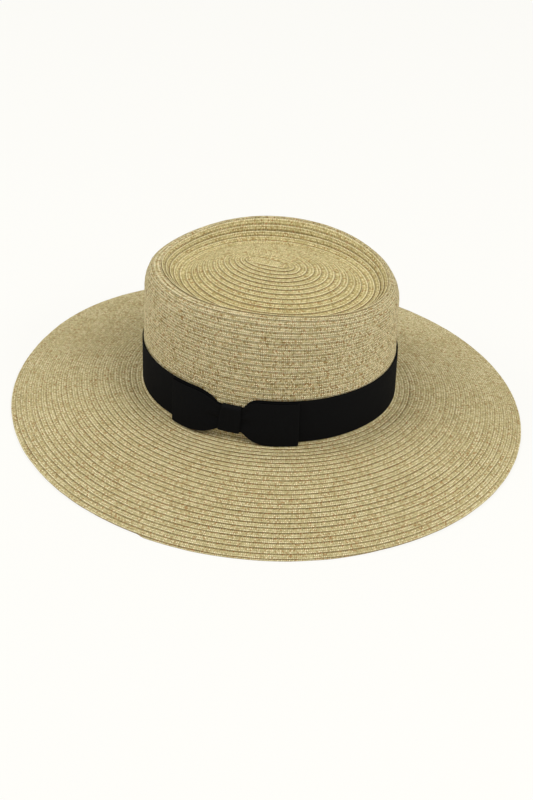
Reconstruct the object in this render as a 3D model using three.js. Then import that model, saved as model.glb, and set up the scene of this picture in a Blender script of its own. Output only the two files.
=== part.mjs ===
// A straw gambler hat: a crown and a wide brim of sewn straw braid, with a ribbon band and a flat bow.
// Millimetres. +Z is up, the hat's front faces -Y and the wearer's left is +X. The origin lies on the
// surface that the hat rests on, under the middle of the brim.
import * as THREE from "three";

// Driving dimensions.
const STRAW_WALL = 2; // two plies of braid, where each row overlaps the last
const GAP = 0.3; // between pieces that lie against each other
const AROUND = 60; // facets round every oval
const FRONT_SHARPNESS = 4; // how closely the pinch keeps to the front of the crown
const EDGE_FOOT = 2.2; // width of the flat underside of the brim's outermost row
const SEAM_HEIGHT = 31.5; // where the crown meets the brim, at the ribbon's lower edge
const CROWN_SHIFT = 2.1; // the crown stands this far behind the middle of the brim

const RIBBON = 1; // thickness of the band's ribbon
const RIBBON_WIDTH = 39;
const BAND_HALF_LENGTH = 101.7; // the crown's foot, which the band follows
const BAND_HALF_WIDTH = 82.8;
const BAND_BOTTOM = 31.2;

const KNOT_ARC = -14; // the knot's middle, along the band from the wearer's left towards the rear
const KNOT_LENGTH = 16.5;
const KNOT_HALF_HEIGHT = 12.5;
const KNOT_MIDDLE = 49.9; // height of the knot's middle
const KNOT_LEAN = 1.2; // its top is this far behind its middle, and its foot this far in front
const KNOT_PROUD = 4.8; // its face stands this far off the crown
const KNOT_ROUND = 1.2; // rounding of its upper and lower edges
const FRONT_LOOP_ARC = -64.8; // where each loop of the bow folds back
const REAR_LOOP_ARC = 38.5;
const LOOP_PLY = 0.8;
const LOOP_FOLD_RADIUS = 0.9;
const LOOP_SWELL = 1.3; // its front ply stands off the back one by this much more at its middle
const LOOP_TUCK = 3; // how far each loop runs in behind the knot
const LOOP_SAG = 0.8; // how far the loops hang below the band
const GATHER = { front: { lower: 36, upper: 22 }, rear: { lower: 24, upper: 15 } }; // narrows over these
const GATHER_BEND = 3; // how quickly it widens again beside the knot

// Each row is one oval round the hat's outer surface, and the columns shape it: shift moves it behind the
// crown's middle, pinch narrows its front, endDrop lowers its front and rear ends, turn swings its rear
// end towards the wearer's left, in degrees, and steps is the facets to the next row.
const COLUMNS = ["name", "halfLength", "halfWidth", "height", "shift", "pinch", "endDrop", "turn", "steps"];
const table = (rows) => rows.map((row) => Object.fromEntries(row.map((value, i) => [COLUMNS[i], value])));

const CROWN = table([
  ["start", 12.5, 0, 141, -3, 0, 0, 8, 2],
  ["dome_in", 26.5, 14.8, 140, -2, 0, 0, 8, 2],
  ["dome", 43, 28.5, 137, 0, 0.03, 0, 5, 2],
  ["dome_foot", 59, 42, 131.5, 2, 0.06, 0, 2, 2],
  ["dip", 70.5, 51, 127, 3, 0.1, 1, 0, 2],
  ["inner_wall", 78.9, 57.8, 129, 3.2, 0.14, 2.5, 0, 1],
  ["inner_rim", 86, 64.3, 136.7, 2.9, 0.2, 5.7, 0, 2],
  ["rim", 90.5, 69.2, 141, 2.5, 0.22, 7.4, 0, 2],
  ["outer_rim", 94.9, 72.2, 139, 0.7, 0.2, 7.4, 0, 2],
  ["wall_top", 98.4, 75, 131.5, 0.5, 0.16, 5.3, 0, 2],
  ["wall_middle", 100.5, 80, 100.5, 0, 0.05, 1.5, 0, 2],
  ["band_top", 101.2, 82.6, 70, 0, 0, 0, 0, 1],
  ["foot", BAND_HALF_LENGTH, BAND_HALF_WIDTH, SEAM_HEIGHT, 0, 0, 0, 0, 0],
]);

const BRIM = table([
  ["neck", BAND_HALF_LENGTH, BAND_HALF_WIDTH, SEAM_HEIGHT - GAP, 0, 0, 0, 0, 1],
  ["bend", 102.1, 83.2, 30.2, 0, 0, 0, 0, 1],
  ["bend_out", 104.6, 85.7, 29.8, 0, 0, 0, 0, 1],
  ["inner", 127.5, 107.3, 28.4, -0.4, 0, 0, 0.6, 2],
  ["middle", 155, 133.6, 22.4, -1, 0, 0, 1.5, 2],
  ["outer", 183.6, 160.6, 12.8, -1.6, 0, 0, 2.4, 2],
  ["edge", 209.6, 185.6, 2.2, -2.1, 0, 0, 3, 0],
]);

const straw = () => new THREE.MeshStandardMaterial({ color: 0xb5a67c, roughness: 0.85, metalness: 0 });
const ribbon = () => new THREE.MeshStandardMaterial({ color: 0x101011, roughness: 0.75, metalness: 0 });

// The slope of one column at every row: that of the parabola through the row and its two neighbours.
function slopesOf(values, stations) {
  const last = values.length - 1;
  const chord = (i) => (values[i + 1] - values[i]) / (stations[i + 1] - stations[i]);
  const slopes = values.map((_, i) => {
    if (i === 0 || i === last) return 0;
    const before = stations[i] - stations[i - 1];
    const after = stations[i + 1] - stations[i];
    return (chord(i - 1) * after + chord(i) * before) / (before + after);
  });
  slopes[0] = 2 * chord(0) - slopes[1];
  slopes[last] = 2 * chord(last - 1) - slopes[last - 1];
  return slopes;
}

// The rows of a table with smooth in-between rows: a cubic through each column, along the profile's length.
function smoothed(rows) {
  const meanRadius = (row) => (row.halfLength + row.halfWidth) / 2;
  const stations = [0];
  rows.slice(1).forEach((row, i) => {
    const run = meanRadius(row) - meanRadius(rows[i]);
    stations.push(stations[i] + Math.hypot(run, row.height - rows[i].height));
  });
  const shape = COLUMNS.slice(1, -1);
  const slopesIn = (key) => slopesOf(rows.map((row) => row[key]), stations);
  const slopes = Object.fromEntries(shape.map((key) => [key, slopesIn(key)]));
  const between = (i, t) => {
    const length = stations[i + 1] - stations[i];
    const value = (key) => {
      const here = rows[i][key] * (1 + 2 * t) * (1 - t) ** 2;
      const next = rows[i + 1][key] * t * t * (3 - 2 * t);
      const leaving = slopes[key][i] * length * t * (1 - t) ** 2;
      const arriving = slopes[key][i + 1] * length * t * t * (t - 1);
      return here + next + leaving + arriving;
    };
    return Object.fromEntries(shape.map((key) => [key, value(key)]));
  };
  const finer = rows.slice(0, -1).flatMap((row, i) =>
    Array.from({ length: row.steps }, (_, step) => between(i, step / row.steps)),
  );
  return [...finer, rows.at(-1)];
}

const angles = Array.from({ length: AROUND }, (_, i) => ((i + 0.5) / AROUND) * 2 * Math.PI);

const Z_AXIS = new THREE.Vector3(0, 0, 1);

function ovalPoint(row, angle) {
  const front = Math.max(0, -Math.sin(angle));
  const across = row.halfWidth * Math.cos(angle) * (1 - row.pinch * front ** FRONT_SHARPNESS);
  const along = row.halfLength * Math.sin(angle);
  const point = new THREE.Vector3(across, along, row.height - row.endDrop * Math.sin(angle) ** 2);
  point.applyAxisAngle(Z_AXIS, -THREE.MathUtils.degToRad(row.turn));
  point.y += CROWN_SHIFT + row.shift;
  return point;
}

const oval = (row) => angles.map((angle) => ovalPoint(row, angle));

// The same rings, moved a wall's thickness in from the surface that they lie on. A first ring that is
// pressed flat into a ridge has no slope of its own and moves straight down.
function insideOf(rings, thickness, hasRidge) {
  const last = rings.length - 1;
  return rings.map((ring, i) =>
    ring.map((point, j) => {
      const along = rings[Math.min(i + 1, last)][j].clone().sub(rings[Math.max(i - 1, 0)][j]);
      const around = ring[(j + 1) % AROUND].clone().sub(ring[(j + AROUND - 1) % AROUND]);
      const normal = hasRidge && i === 0 ? Z_AXIS : along.cross(around).normalize();
      return point.clone().addScaledVector(normal, -thickness);
    }),
  );
}

// A body of rings with the same number of points, joined in order, and the last to the first if looped.
function bodyOfRings(rings, looped) {
  const count = rings[0].length;
  const index = [];
  const bands = looped ? rings.length : rings.length - 1;
  for (let i = 0; i < bands; i++) {
    const next = (i + 1) % rings.length;
    for (let j = 0; j < count; j++) {
      const k = (j + 1) % count;
      index.push(i * count + j, next * count + j, next * count + k);
      index.push(i * count + j, next * count + k, i * count + k);
    }
  }
  return new THREE.BufferGeometry().setFromPoints(rings.flat()).setIndex(index);
}

const level = (ring, height) => ring.map((point) => new THREE.Vector3(point.x, point.y, height));

function crownGeometry() {
  const outside = smoothed(CROWN).map(oval);
  const inside = insideOf(outside, STRAW_WALL, true);
  inside[inside.length - 1] = level(inside.at(-1), CROWN.at(-1).height);
  return bodyOfRings([...outside, ...inside.reverse()], false);
}

function brimGeometry() {
  const edge = BRIM.at(-1);
  const halfLength = edge.halfLength - EDGE_FOOT;
  const halfWidth = edge.halfWidth - EDGE_FOOT;
  const top = smoothed(BRIM).map(oval);
  const under = insideOf(top, STRAW_WALL, false);
  under[0] = level(under[0], BRIM[0].height);
  under.pop();
  const foot = [top.at(-1), oval({ ...edge, halfLength, halfWidth })].map((ring) => level(ring, 0));
  return bodyOfRings([...top, ...foot, ...under.reverse()], true);
}

const foot = new THREE.EllipseCurve(0, CROWN_SHIFT, BAND_HALF_WIDTH, BAND_HALF_LENGTH, 0, 2 * Math.PI);
const footLength = foot.getLength();

// A point off the crown's foot: arc runs along the band from the wearer's left to the rear, offset outwards.
function onBand(arc, offset, height) {
  const share = (arc / footLength + 1) % 1;
  const point = foot.getPointAt(share);
  const along = foot.getTangentAt(share);
  return new THREE.Vector3(point.x + along.y * offset, point.y - along.x * offset, height);
}

// Half the length along the band in which the ribbon is drawn in to fit inside the leaning knot.
const DRAWN_IN = KNOT_LENGTH / 2 + KNOT_LEAN + GAP;

// The ribbon's lower and upper edges, which draw together at the knot. Away from it they hang below the
// band's own edges by sag.
function ribbonEdges(arc, sag) {
  const lengths = arc < KNOT_ARC ? GATHER.front : GATHER.rear;
  const fromKnot = Math.max(0, Math.abs(arc - KNOT_ARC) - DRAWN_IN);
  const closed = (length) => Math.max(0, 1 - fromKnot / length) ** GATHER_BEND;
  const gathered = KNOT_HALF_HEIGHT - RIBBON - 2 * GAP;
  const bottom = BAND_BOTTOM - sag;
  const top = bottom + RIBBON_WIDTH;
  return {
    lower: THREE.MathUtils.lerp(bottom, KNOT_MIDDLE - gathered, closed(lengths.lower)),
    upper: THREE.MathUtils.lerp(top, KNOT_MIDDLE + gathered, closed(lengths.upper)),
  };
}

const evenly = (from, to, count) => Array.from({ length: count }, (_, i) => from + (i / count) * (to - from));

function bandGeometry() {
  const behind = 5; // facets behind the knot
  const gathered = 9; // facets across each gather
  const plain = 76; // facets round the rest of the crown
  const front = KNOT_ARC - DRAWN_IN;
  const rear = KNOT_ARC + DRAWN_IN;
  const frontEnd = front - GATHER.front.lower;
  const rearEnd = rear + GATHER.rear.lower;
  const arcs = [
    ...evenly(frontEnd, front, gathered),
    ...evenly(front, rear, behind),
    ...evenly(rear, rearEnd, gathered),
    ...evenly(rearEnd, frontEnd + footLength, plain),
  ];
  const ring = (offset, edge) => arcs.map((arc) => onBand(arc, offset, ribbonEdges(arc, 0)[edge]));
  const outer = GAP + RIBBON;
  const upper = [ring(GAP, "upper"), ring(outer, "upper")];
  const lower = [ring(outer, "lower"), ring(GAP, "lower")];
  return bodyOfRings([...upper, ...lower], true);
}

// A body swept through sections that share one flat outline, with its two ends closed.
function sweptBody(sections, outline) {
  const side = bodyOfRings(sections, false).index.array;
  const last = (sections.length - 1) * outline.length;
  const caps = THREE.ShapeUtils.triangulateShape(outline, []).flatMap(([a, b, c]) => [
    ...[c, b, a],
    ...[last + a, last + b, last + c],
  ]);
  return new THREE.BufferGeometry().setFromPoints(sections.flat()).setIndex([...side, ...caps]);
}

// One loop of the bow, as a line of points from the knot out along its back ply, round the fold and back
// along its front ply: x is the distance along the band from the knot's edge, y the offset from the crown.
function loopPath(length) {
  const back = GAP + RIBBON + GAP + LOOP_PLY / 2;
  const frontAtKnot = KNOT_PROUD - RIBBON - GAP - LOOP_PLY / 2;
  const fold = length - LOOP_FOLD_RADIUS - LOOP_PLY / 2;
  const clear = KNOT_LEAN + GAP; // where the loop is past the knot's leaning side
  const plySteps = 10;
  const foldSteps = 4;
  const distances = [-LOOP_TUCK, ...evenly(clear, fold, plySteps), fold];
  const path = distances.map((distance) => new THREE.Vector2(distance, back));
  for (let i = 1; i < foldSteps; i++) {
    const turn = (i / foldSteps) * Math.PI;
    const centre = back + LOOP_FOLD_RADIUS;
    const out = LOOP_FOLD_RADIUS * Math.sin(turn);
    path.push(new THREE.Vector2(fold + out, centre - LOOP_FOLD_RADIUS * Math.cos(turn)));
  }
  for (const distance of distances.toReversed()) {
    const open = Math.max(0, distance - clear) / (fold - clear);
    const offset = THREE.MathUtils.lerp(frontAtKnot, back + 2 * LOOP_FOLD_RADIUS, open);
    path.push(new THREE.Vector2(distance, offset + LOOP_SWELL * Math.sin(Math.PI * open)));
  }
  return path;
}

function loopGeometry(endArc) {
  const towards = Math.sign(endArc - KNOT_ARC);
  const root = KNOT_ARC + (towards * KNOT_LENGTH) / 2;
  const path = loopPath(Math.abs(endArc - root));
  const sections = path.map((point, i) => {
    const before = path[Math.max(i - 1, 0)];
    const after = path[Math.min(i + 1, path.length - 1)];
    const across = after.clone().sub(before).normalize().multiplyScalar(LOOP_PLY / 2);
    const corner = (side, edge) => {
      const arc = root + towards * (point.x + side * across.y);
      const height = ribbonEdges(root + towards * point.x, LOOP_SAG)[edge];
      return onBand(arc, point.y - side * across.x, height);
    };
    return [corner(-1, "lower"), corner(-1, "upper"), corner(1, "upper"), corner(1, "lower")];
  });
  const outline = [[0, 1], [1, 1], [1, 0], [0, 0]].map(([rise, offset]) => new THREE.Vector2(rise, offset));
  return sweptBody(towards < 0 ? sections.reverse() : sections, outline);
}

// The knot wraps over the loops, leans back, and turns in towards the crown above and below them.
function knotGeometry() {
  const inner = KNOT_HALF_HEIGHT - RIBBON;
  const outline = [
    [-KNOT_HALF_HEIGHT, GAP],
    [-KNOT_HALF_HEIGHT, KNOT_PROUD - KNOT_ROUND],
    [-KNOT_HALF_HEIGHT + KNOT_ROUND, KNOT_PROUD],
    [KNOT_HALF_HEIGHT - KNOT_ROUND, KNOT_PROUD],
    [KNOT_HALF_HEIGHT, KNOT_PROUD - KNOT_ROUND],
    [KNOT_HALF_HEIGHT, GAP],
    [inner, GAP],
    [inner, KNOT_PROUD - RIBBON],
    [-inner, KNOT_PROUD - RIBBON],
    [-inner, GAP],
  ].map(([rise, offset]) => new THREE.Vector2(rise, offset));
  const steps = 6;
  const ends = [KNOT_ARC - KNOT_LENGTH / 2, KNOT_ARC + KNOT_LENGTH / 2];
  const sections = [...evenly(...ends, steps), ends[1]].map((arc) => {
    const leaning = (rise) => arc + (KNOT_LEAN * rise) / KNOT_HALF_HEIGHT;
    return outline.map(({ x: rise, y: offset }) => onBand(leaning(rise), offset, KNOT_MIDDLE + rise));
  });
  return sweptBody(sections, outline);
}

const hat = new THREE.Group();

function add(name, geometry, material) {
  const mesh = new THREE.Mesh(geometry, material);
  mesh.name = name;
  hat.add(mesh);
}

add("crown", crownGeometry(), straw());
add("brim", brimGeometry(), straw());
add("hat_band", bandGeometry(), ribbon());
add("bow_front_loop", loopGeometry(FRONT_LOOP_ARC), ribbon());
add("bow_rear_loop", loopGeometry(REAR_LOOP_ARC), ribbon());
add("bow_knot", knotGeometry(), ribbon());

export default hat;
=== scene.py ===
"""A straw gambler hat: sewn straw braid on a crown and a wide brim, with a ribbon band and a flat bow.

Metres, +Z up. The hat's front faces -Y and the wearer's left is +X. It rests on its brim at height 0.
"""

import logging
import math
from abc import ABC, abstractmethod
from collections.abc import Callable
from dataclasses import dataclass
from enum import Enum
from functools import cached_property

import bpy
import numpy as np
from mathutils import Matrix, Vector


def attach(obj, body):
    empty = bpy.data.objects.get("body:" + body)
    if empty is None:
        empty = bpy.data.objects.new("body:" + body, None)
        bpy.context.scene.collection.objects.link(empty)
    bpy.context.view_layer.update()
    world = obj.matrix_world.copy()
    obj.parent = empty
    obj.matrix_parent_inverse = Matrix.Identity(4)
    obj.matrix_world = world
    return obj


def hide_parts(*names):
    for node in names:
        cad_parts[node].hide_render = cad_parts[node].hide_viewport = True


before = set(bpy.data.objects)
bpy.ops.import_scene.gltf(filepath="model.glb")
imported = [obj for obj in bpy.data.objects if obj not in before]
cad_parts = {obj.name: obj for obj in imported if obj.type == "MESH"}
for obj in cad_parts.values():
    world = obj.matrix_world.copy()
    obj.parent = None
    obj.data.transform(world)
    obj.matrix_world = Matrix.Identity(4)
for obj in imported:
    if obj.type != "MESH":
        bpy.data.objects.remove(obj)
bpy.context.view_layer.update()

log = logging.getLogger("straw_hat")

MM = 0.001
BODY = "root"
UV_NAME = "lay"  # lengths along and across a braid or ribbon, in metres
FULL_TURN = 2 * math.pi
CROWN_SHIFT = 2.1 * MM  # the crown stands this far behind the middle of the brim

Array = np.ndarray
Material = bpy.types.Material
Object = bpy.types.Object
Colour = tuple[float, float, float]
Stops = tuple[tuple[float, Colour], ...]


class Slot(Enum):
    """The record's material slots."""

    STRAW = "straw"
    RIBBON = "ribbon"


class Held(Enum):
    """How a sheet of cloth is held."""

    STRETCHED = "stretched"
    FOLDED = "folded"


def linear(*display: int) -> Colour:
    """Turns an 8-bit display colour into the linear values that a shader takes.

    Args:
        display: Red, green and blue, from 0 to 255.

    Returns:
        The linear red, green and blue.
    """
    shares = (value / 255 for value in display)
    return tuple(v / 12.92 if v <= 0.04045 else ((v + 0.055) / 1.055) ** 2.4 for v in shares)


def ease(x: Array, low: float, high: float) -> Array:
    """Rises smoothly from 0 at low to 1 at high.

    Args:
        x: The values to ease.
        low: Where the rise starts.
        high: Where it ends.

    Returns:
        The eased values.
    """
    t = np.clip((x - low) / (high - low), 0, 1)
    return t * t * (3 - 2 * t)


def wander(length: Array, wave: float, swing: float, seed: int) -> Array:
    """A smooth random wave: seeded heights one wave apart, joined by an eased curve.

    Args:
        length: Where the wave is wanted, in metres, not negative.
        wave: Distance between two heights.
        swing: Largest height.
        seed: Seed of the heights.

    Returns:
        The wave's height at each length.
    """
    heights = np.random.default_rng(seed).uniform(-swing, swing, int(length.max() / wave) + 3)
    place = length / wave
    before = np.floor(place).astype(int)
    blend = ease(place - before, 0, 1)
    return heights[before] * (1 - blend) + heights[before + 1] * blend


def unit(vectors: Array) -> Array:
    """Brings vectors to length 1.

    Args:
        vectors: The vectors, along the last axis.

    Returns:
        Vectors of the same directions.
    """
    return vectors / np.linalg.norm(vectors, axis=-1, keepdims=True)


def travelled(points: Array) -> Array:
    """Adds up the steps from point to point.

    Args:
        points: The points, along the first axis.

    Returns:
        The way travelled from the first point to each.
    """
    return np.concatenate([[0.0], np.cumsum(np.linalg.norm(np.diff(points, axis=0), axis=-1))])


# Shader graphs

SMOOTH = {"interpolation_type": "SMOOTHSTEP"}


def operation(name: str, flipped: bool = False) -> Callable[..., "Field"]:
    """Makes a method of Field that adds one Math node.

    Args:
        name: The node's operation.
        flipped: Whether the field is its last input, as in 1 - field.

    Returns:
        The method, which takes the other inputs and gives the result as a field.
    """

    def method(self: "Field", *others: "Field | float") -> "Field":
        """Adds the node."""
        return self.shader.math(name, *((*others, self) if flipped else (self, *others)))

    return method


class Field:
    """A shader socket that arithmetic works on. Each operator adds the Math node that it stands for."""

    def __init__(self, shader: "Shader", socket: bpy.types.NodeSocket) -> None:
        """Keeps the socket and the graph that it belongs to."""
        self.shader = shader
        self.socket = socket

    __add__ = __radd__ = operation("ADD")
    __sub__ = operation("SUBTRACT")
    __rsub__ = operation("SUBTRACT", flipped=True)
    __mul__ = __rmul__ = operation("MULTIPLY")
    __truediv__ = operation("DIVIDE")
    __rtruediv__ = operation("DIVIDE", flipped=True)
    __pow__ = operation("POWER")
    __mod__ = operation("FLOORED_MODULO")  # never negative
    floor = operation("FLOOR")
    fraction = operation("FRACT")
    sine = operation("SINE")
    size = operation("ABSOLUTE")  # the value without its sign
    least = operation("MINIMUM")
    most = operation("MAXIMUM")
    above = operation("GREATER_THAN")  # 1 where it is above the other, and 0 elsewhere

    def ramp(self, low: float, high: float) -> "Field":
        """Rises smoothly from 0 at low to 1 at high, and falls if low is above high."""
        inputs = {"Value": self, "From Min": low, "From Max": high}
        return self.shader.field("ShaderNodeMapRange", SMOOTH, inputs, "Result")

    def blend(self, low: "Field | float", high: "Field | float") -> "Field":
        """Goes from low to high as this field goes from 0 to 1."""
        return low + self * (high - low)


class Shader:
    """A material's node graph."""

    def __init__(self, name: str) -> None:
        """Makes an empty material.

        Args:
            name: The material's name.
        """
        self.material = bpy.data.materials.new(name)
        self.material.use_nodes = True
        self.tree = self.material.node_tree
        self.tree.nodes.clear()

    def node(self, kind: str, settings: dict | None, inputs: dict | None) -> bpy.types.Node:
        """Adds a node, sets its choices first, then fills or links its inputs.

        Args:
            kind: The node's type.
            settings: Its properties, and "stops" for a colour ramp's positions and colours.
            inputs: Its inputs by name or number, each a field or a value.

        Returns:
            The node.
        """
        node = self.tree.nodes.new(kind)
        for key, value in (settings or {}).items():
            if key == "stops":
                elements = node.color_ramp.elements
                while len(elements) < len(value):
                    elements.new(1.0)
                for element, (position, colour) in zip(elements, value):
                    element.position = position
                    element.color = (*colour, 1.0)
            else:
                setattr(node, key, value)
        for key, value in (inputs or {}).items():
            if isinstance(value, Field):
                self.tree.links.new(value.socket, node.inputs[key])
            else:
                node.inputs[key].default_value = value
        return node

    def field(self, kind: str, settings: dict | None = None, inputs: dict | None = None,
              output: str | int = 0) -> Field:
        """Adds a node and takes one of its outputs, by name or number, as a field."""
        return Field(self, self.node(kind, settings, inputs).outputs[output])

    def math(self, name: str, *values: Field | float) -> Field:
        """Adds a Math node of this operation with the values as its inputs."""
        return self.field("ShaderNodeMath", {"operation": name}, dict(enumerate(values)))

    def mix(self, factor: Field | float, first: Field | Colour, second: Field | Colour,
            blend: str = "MIX") -> Field:
        """Mixes two colours.

        Args:
            factor: Share of the second.
            first: Colour at 0.
            second: Colour at 1.
            blend: How the second is laid over the first.

        Returns:
            The mixed colour.
        """
        first, second = ((*c, 1.0) if isinstance(c, tuple) else c for c in (first, second))
        settings = {"data_type": "RGBA", "blend_type": blend}
        inputs = {0: factor, 6: first, 7: second}  # the node's numbers for colours
        return self.field("ShaderNodeMix", settings, inputs, 2)

    def ramp(self, factor: Field, stops: Stops) -> Field:
        """Picks a colour by a number from 0 to 1."""
        return self.field("ShaderNodeValToRGB", {"stops": stops}, {"Fac": factor})

    def lay(self) -> tuple[Field, Field]:
        """Reads where a point of a braid or ribbon is.

        Returns:
            The lengths along and across it, in millimetres.
        """
        uv = self.field("ShaderNodeUVMap", {"uv_map": UV_NAME})
        parts = self.node("ShaderNodeSeparateXYZ", None, {0: uv}).outputs
        return Field(self, parts[0]) / MM, Field(self, parts[1]) / MM

    def attribute(self, name: str) -> Field:
        """A number stored on the mesh."""
        return self.field("ShaderNodeAttribute", {"attribute_name": name}, output="Fac")

    def chance(self, number: Field, second: Field | float = 0.0) -> Field:
        """A random number from 0 to 1 that is the same wherever the given numbers are."""
        inputs = {"Vector": self.vector(number, second)}
        return self.field("ShaderNodeTexWhiteNoise", {"noise_dimensions": "2D"}, inputs, "Value")

    def cloud(self, grain: float, detail: float = 2.0, vector: Field | None = None) -> Field:
        """A smooth random field about 0.5.

        Args:
            grain: Size of its patches, in metres, or in the vector's own unit.
            detail: Octaves of finer patches.
            vector: Where it is read. Object coordinates if none is given.

        Returns:
            The field.
        """
        if vector is None:
            vector = self.field("ShaderNodeTexCoord", output="Object")
        inputs = {"Vector": vector, "Scale": 1 / grain, "Detail": detail}
        return self.field("ShaderNodeTexNoise", None, inputs, "Fac")

    def vector(self, *parts: Field | float) -> Field:
        """A vector of two or three numbers."""
        return self.field("ShaderNodeCombineXYZ", None, dict(enumerate(parts)))

    def finish(self, surface: dict, height: Field | None = None, relief: float = 0.0) -> Material:
        """Adds the surface and its relief, and links them to the output.

        Args:
            surface: Inputs of the Principled BSDF.
            height: Height field from 0 to 1.
            relief: What 1 stands for, in metres.

        Returns:
            The material.
        """
        inputs = dict(surface)
        if height is not None:
            bump = {"Strength": 1.0, "Distance": relief, "Height": height}
            inputs["Normal"] = self.field("ShaderNodeBump", None, bump)
        shaded = self.field("ShaderNodeBsdfPrincipled", None, inputs)
        self.node("ShaderNodeOutputMaterial", None, {"Surface": shaded})
        return self.material


# Finishes


@dataclass(frozen=True)
class StrawFinish:
    """Flat plait of natural straw: every strand has its own tone, and a row's edge carries a painted
    highlight, one pale thread.

    Lengths are in millimetres, but for those given in MM, which are in metres. The values that start
    with tip hold for the crown's top, inside its rim.
    """

    name: str
    tucked: float  # depth of the shade beside the row above
    edge_highlight: float  # strength of the painted highlight on the thread along the outer edge
    level: float = 0.58  # middle tone
    mottle: float = 1.1  # how much the strands' tones differ
    holed: float = 0.5  # depth of the painted shade in the small holes between strands
    tip: float = -1000.0  # length of braid in the tip, which is yellower. None if negative
    tip_fade: float = 300.0
    tip_tucked: float = 0.58
    tip_edge_highlight: float = 0.45
    tip_level: float = 0.62
    tip_mottle: float = 1.25
    tip_holed: float = 0.6
    strand: float = 1.45  # along the braid from one strand to the next
    slant: float = 0.8  # how much a strand runs along for each millimetre across
    setback: float = 0.25  # how much nearer the edge the first row of crossings lies
    thread: float = 0.85  # width of the painted highlight along the outer edge
    groove: float = 0.95  # width of the shade beside the row above
    inner_edge: float = 6.2  # round a section to the start of its underside
    nose: float = 11.9  # round a section to the foot of its outer edge
    foot: float = 0.95  # depth of the shade at that foot
    patch: float = 14 * MM  # size of the small changes of tone
    drift: float = 60 * MM  # size of the slow ones
    relief: float = 0.3 * MM
    roughness: float = 0.82
    gloss: float = 0.1
    tones: Stops = (
        (0.06, linear(106, 89, 46)),
        (0.24, linear(150, 135, 92)),
        (0.44, linear(176, 161, 115)),
        (0.66, linear(196, 182, 134)),
        (0.92, linear(234, 223, 182)),
    )
    # colour of the painted highlight along the outer edge
    highlight_cream: Colour = linear(234, 223, 182)
    shade: Colour = linear(88, 67, 18)
    rust: Colour = linear(158, 106, 60)
    yellow: Colour = (1.0, 0.985, 0.88)

    def material(self) -> Material:
        """Builds the material.

        Two sets of slanting strands are numbered by the whole part of (along + slant * across) / strand
        and of (along - slant * across) / strand. The set on top changes like a chessboard's squares, and
        the strand on top and the square itself pick the tone by chance. Where the squares' corners meet,
        the plait leaves a small hole, which is painted dark as shade.

        Returns:
            The material.
        """
        shader = Shader(self.name)
        along, across = shader.lay()
        tip = along.ramp(self.tip + self.tip_fade, self.tip - self.tip_fade)

        # The two sets of strands, and each one's roundness across itself.
        lean = (across + self.setback) * self.slant
        first = (along + lean) / self.strand
        second = (along - lean) / self.strand
        over = ((first.floor() + second.floor()) % 2.0).above(0.5)
        number = over.blend(first.floor(), second.floor() + 0.5)
        through = (over.blend(first, second).fraction() - 0.5).size() * 2.0
        beside = (over.blend(second, first).fraction() - 0.5).size() * 2.0
        rib = 1.0 - through ** 2.0
        height = rib * 0.6 + (1.0 - beside ** 4.0) * 0.4

        # Tones: the set on top, the square, the strand and its own streaks, then slow changes. What is
        # taken off at the end of each sum brings its middle to 0.
        square = shader.chance(first.floor(), second.floor())
        streak = shader.cloud(1.0, 2.0, shader.vector(along * 1.3, across * 1.3, number))
        patch = shader.cloud(self.patch, 3.0)
        drift = shader.cloud(self.drift, 1.0)
        chequer = over * 0.26 + square * 0.36 + shader.chance(number) * 0.16 + streak * 0.3 - 0.54
        tone = chequer * tip.blend(self.mottle, self.tip_mottle) + patch * 0.12 + drift * 0.12 - 0.12
        straw = shader.ramp(tone + tip.blend(self.level, self.tip_level), self.tones)
        straw = shader.mix(square.ramp(0.12, 0.07) * 0.5, straw, self.rust)
        straw = shader.mix(tip, straw, self.yellow, "MULTIPLY")

        # The painted highlight along the outer edge, where the rounded edge catches the light.
        edge = across.ramp(self.thread + 0.15, self.thread - 0.3)
        lit = edge * rib.blend(0.5, 1.0) * tip.blend(self.edge_highlight, self.tip_edge_highlight)
        straw = shader.mix(lit, straw, self.highlight_cream)

        # Painted shade: in the holes and gaps between strands, beside the row above, and at the foot of the
        # edge.
        corner = shader.chance((first + 0.5).floor(), (second + 0.5).floor())
        open_corner = (through + beside).ramp(1.0, 1.45) * corner.blend(0.3, 1.0)
        hole = (through.ramp(0.6, 0.95) * 0.55).most(open_corner) * across.ramp(0.2, 0.5)
        ragged = shader.cloud(1.0, 1.0, shader.vector(along * 0.7, across * 0.2)) - 0.5
        uncovered = shader.attribute("bare") / MM - across
        tuck = (uncovered + ragged * 0.5).ramp(self.groove, self.groove - 0.35)
        tuck = tuck * across.ramp(self.inner_edge + 0.3, self.inner_edge)
        foot = across.ramp(self.nose - 0.1, self.nose + 0.1)
        depth = corner.blend(0.3, 1.5)
        deep = (hole * tip.blend(self.holed, self.tip_holed)).most(foot * self.foot * depth.most(0.45))
        deep = deep.most(tuck * depth * tip.blend(self.tucked, self.tip_tucked))
        shade = shader.mix(corner.ramp(0.72, 0.9), self.shade, self.rust)
        surface = {
            "Base Color": shader.mix(deep.least(1.0), straw, shade),
            "Roughness": self.roughness + (0.5 - rib) * 0.12,
            "Specular IOR Level": self.gloss,
        }
        return shader.finish(surface, height + edge * 0.3 - hole * 0.4, self.relief)


CROWN_STRAW = StrawFinish(
    "straw_braid_crown", tucked=0.4, edge_highlight=0.3, level=0.66, mottle=1.9, holed=1.0, tip=4980.0
)
BRIM_STRAW = StrawFinish("straw_braid_brim", tucked=0.65, edge_highlight=0.15)


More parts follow.
